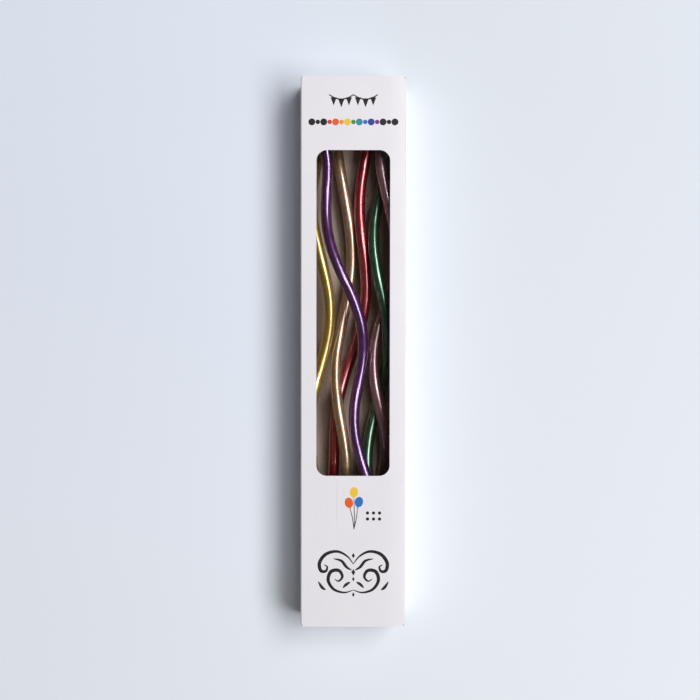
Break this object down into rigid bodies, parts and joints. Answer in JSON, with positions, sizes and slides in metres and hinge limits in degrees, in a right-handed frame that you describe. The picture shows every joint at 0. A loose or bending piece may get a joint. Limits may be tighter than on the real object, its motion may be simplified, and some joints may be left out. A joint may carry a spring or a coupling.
{
  "type": "boxed set of spiral birthday candles",
  "caption": "Slim windowed tuck-end carton holding metallic spiral birthday candles, with hinged lids, tuck tongues and dust flaps at both ends and a clear film behind the window.",
  "frame": {"origin": "centre of the back panel's outer face, on the surface that the carton lies on", "axes": "+X across the carton, +Y along it towards its top end and the candle tips, +Z out of the window"},
  "size_m": [0.04, 0.21, 0.02],
  "materials": {
    "coated_board": "satin",
    "clear_film": "polished",
    "cotton_wick": "matte",
    "gold_wax": "gloss",
    "purple_wax": "gloss",
    "champagne_wax": "gloss",
    "red_wax": "gloss",
    "green_wax": "gloss",
    "pink_wax": "gloss"
  },
  "bodies": {
    "carton": {"front_panel": "coated_board", "back_panel": "coated_board", "left_side_panel": "coated_board", "right_side_panel": "coated_board", "glue_flap": "coated_board", "window_film": "clear_film"},
    "top_lid": {"top_lid": "coated_board"},
    "top_tuck_tongue": {"top_tuck_tongue": "coated_board"},
    "top_left_dust_flap": {"top_left_dust_flap": "coated_board"},
    "top_right_dust_flap": {"top_right_dust_flap": "coated_board"},
    "bottom_lid": {"bottom_lid": "coated_board"},
    "bottom_tuck_tongue": {"bottom_tuck_tongue": "coated_board"},
    "bottom_left_dust_flap": {"bottom_left_dust_flap": "coated_board"},
    "bottom_right_dust_flap": {"bottom_right_dust_flap": "coated_board"},
    "gold_candle": {"gold_candle_wax": "gold_wax", "gold_candle_wick": "cotton_wick"},
    "purple_candle": {"purple_candle_wax": "purple_wax", "purple_candle_wick": "cotton_wick"},
    "champagne_candle": {"champagne_candle_wax": "champagne_wax", "champagne_candle_wick": "cotton_wick"},
    "red_candle": {"red_candle_wax": "red_wax", "red_candle_wick": "cotton_wick"},
    "green_candle": {"green_candle_wax": "green_wax", "green_candle_wick": "cotton_wick"},
    "pink_candle": {"pink_candle_wax": "pink_wax", "pink_candle_wick": "cotton_wick"}
  },
  "joints": [
    {"name": "top_lid_hinge", "type": "hinge", "parent": "carton", "child": "top_lid", "pos_m": [0, 0.1048, 0.0002], "axis": [-1, 0, 0], "range_deg": [0, 90]},
    {"name": "bottom_lid_hinge", "type": "hinge", "parent": "carton", "child": "bottom_lid", "pos_m": [0, -0.1048, 0.0002], "axis": [1, 0, 0], "range_deg": [0, 90]},
    {"name": "purple_candle_slide", "type": "slide", "parent": "carton", "child": "purple_candle", "axis": [0, 1, 0], "range_m": [-0.018, 0.006]},
    {"name": "top_tongue_hinge", "type": "hinge", "parent": "top_lid", "child": "top_tuck_tongue", "pos_m": [0, 0.1048, 0.0192], "axis": [-1, 0, 0], "range_deg": [0, 27]},
    {"name": "top_left_flap_hinge", "type": "hinge", "parent": "carton", "child": "top_left_dust_flap", "pos_m": [-0.0198, 0.1042, 0.0085], "axis": [0, 0, 1], "range_deg": [0, 90]},
    {"name": "top_right_flap_hinge", "type": "hinge", "parent": "carton", "child": "top_right_dust_flap", "pos_m": [0.0198, 0.1042, 0.0085], "axis": [0, 0, -1], "range_deg": [0, 90]},
    {"name": "bottom_tongue_hinge", "type": "hinge", "parent": "bottom_lid", "child": "bottom_tuck_tongue", "pos_m": [0, -0.1048, 0.0192], "axis": [1, 0, 0], "range_deg": [0, 27]},
    {"name": "bottom_left_flap_hinge", "type": "hinge", "parent": "carton", "child": "bottom_left_dust_flap", "pos_m": [-0.0198, -0.1042, 0.0085], "axis": [0, 0, -1], "range_deg": [0, 90]},
    {"name": "bottom_right_flap_hinge", "type": "hinge", "parent": "carton", "child": "bottom_right_dust_flap", "pos_m": [0.0198, -0.1042, 0.0085], "axis": [0, 0, 1], "range_deg": [0, 90]},
    {"name": "gold_candle_slide", "type": "slide", "parent": "carton", "child": "gold_candle", "axis": [0, 1, 0], "range_m": [-0.018, 0.006]},
    {"name": "champagne_candle_slide", "type": "slide", "parent": "carton", "child": "champagne_candle", "axis": [0, 1, 0], "range_m": [-0.018, 0.006]},
    {"name": "red_candle_slide", "type": "slide", "parent": "carton", "child": "red_candle", "axis": [0, 1, 0], "range_m": [-0.018, 0.006]},
    {"name": "green_candle_slide", "type": "slide", "parent": "carton", "child": "green_candle", "axis": [0, 1, 0], "range_m": [-0.018, 0.006]},
    {"name": "pink_candle_slide", "type": "slide", "parent": "carton", "child": "pink_candle", "axis": [0, 1, 0], "range_m": [-0.018, 0.006]}
  ],
  "couplings": [
    {"joint": "top_tongue_hinge", "follows": "top_lid_hinge", "ratio": 0.3},
    {"joint": "top_left_flap_hinge", "follows": "top_lid_hinge", "ratio": 1},
    {"joint": "top_right_flap_hinge", "follows": "top_lid_hinge", "ratio": 1},
    {"joint": "bottom_tongue_hinge", "follows": "bottom_lid_hinge", "ratio": 0.3},
    {"joint": "bottom_left_flap_hinge", "follows": "bottom_lid_hinge", "ratio": 1},
    {"joint": "bottom_right_flap_hinge", "follows": "bottom_lid_hinge", "ratio": 1},
    {"joint": "gold_candle_slide", "follows": "purple_candle_slide", "ratio": 1},
    {"joint": "champagne_candle_slide", "follows": "purple_candle_slide", "ratio": 1},
    {"joint": "red_candle_slide", "follows": "purple_candle_slide", "ratio": 1},
    {"joint": "green_candle_slide", "follows": "purple_candle_slide", "ratio": 1},
    {"joint": "pink_candle_slide", "follows": "purple_candle_slide", "ratio": 1}
  ]
}
